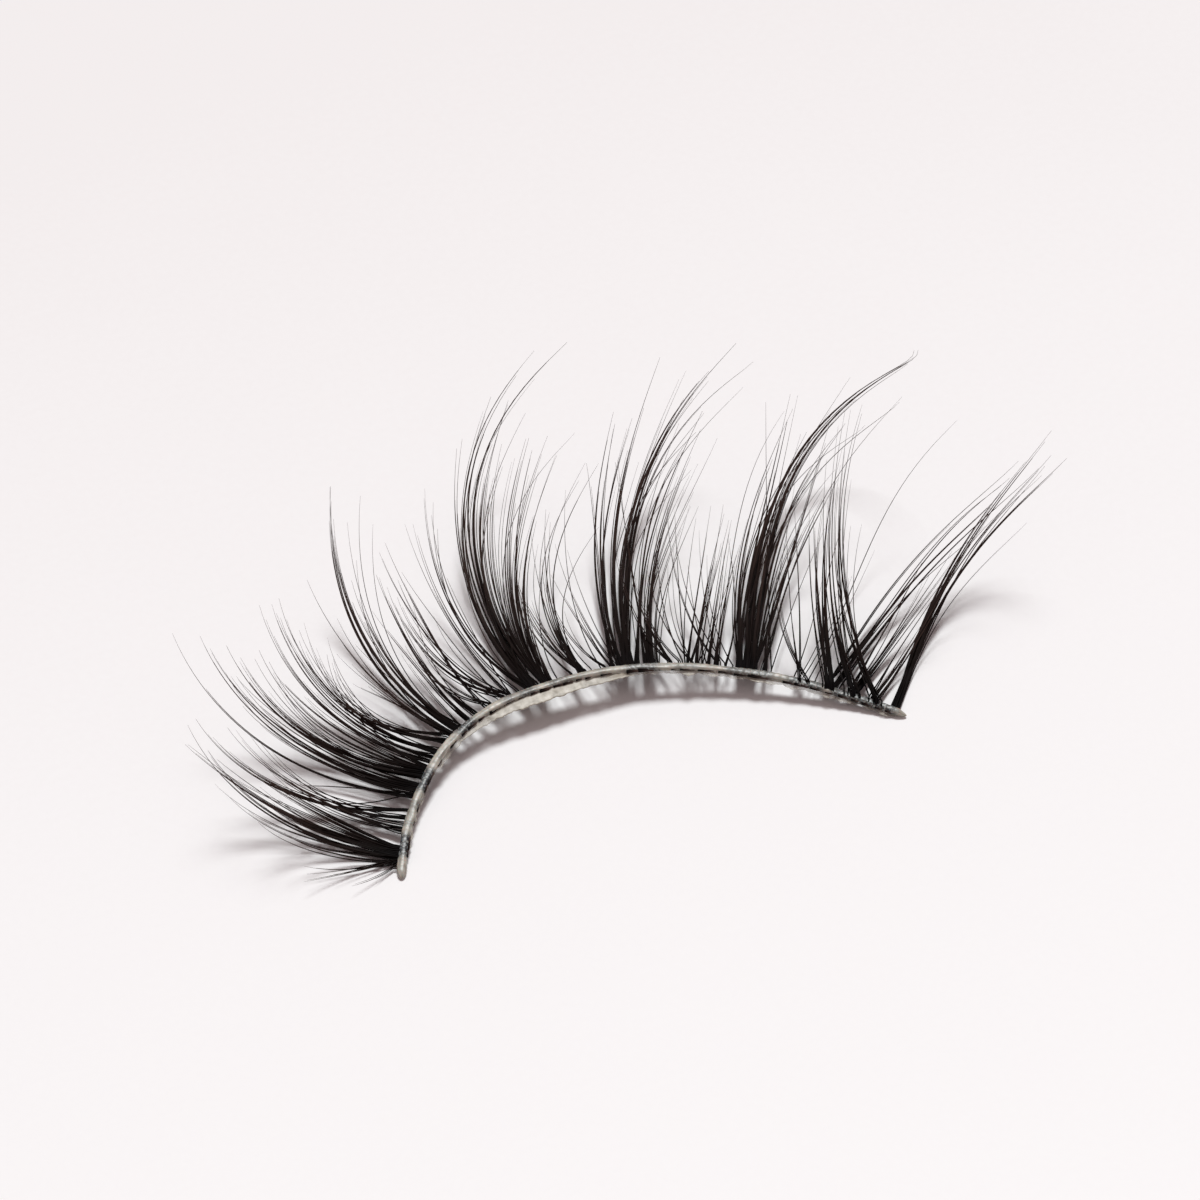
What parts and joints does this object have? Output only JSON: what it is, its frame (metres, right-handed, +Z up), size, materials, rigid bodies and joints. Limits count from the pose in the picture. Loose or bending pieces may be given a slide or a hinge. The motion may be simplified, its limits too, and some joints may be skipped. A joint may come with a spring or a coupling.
{
  "type": "false eyelash strip",
  "caption": "Strip of black false eyelashes: a thin curved band with a dried glue rim and swept, upcurled tufts, dense spikes between sparse wisps.",
  "frame": {"origin": "middle of the strip's footprint on the surface it lies on", "axes": "+X along the band from the inner to the outer corner of the eye, +Y the way the lashes grow, +Z up"},
  "size_m": [0.0444, 0.0236, 0.0085],
  "materials": {
    "band_cream": "glue-soaked cream thread, satin",
    "glue_clear": "dried clear glue, uneven gloss",
    "lash_black": "fine black synthetic fibre, soft sheen"
  },
  "bodies": {
    "root": {"band_strand": "band_cream", "glue_edge": "glue_clear", "inner_wisp": "lash_black", "inner_tuft_1": "lash_black", "inner_tuft_2": "lash_black", "inner_tuft_3": "lash_black", "inner_tuft_4": "lash_black", "inner_tuft_5": "lash_black", "short_tuft_1": "lash_black", "tall_tuft_1": "lash_black", "short_tuft_2": "lash_black", "tall_tuft_2": "lash_black", "short_tuft_3": "lash_black", "tall_tuft_3": "lash_black", "outer_tuft_in": "lash_black", "outer_tuft_out": "lash_black"}
  },
  "joints": []
}
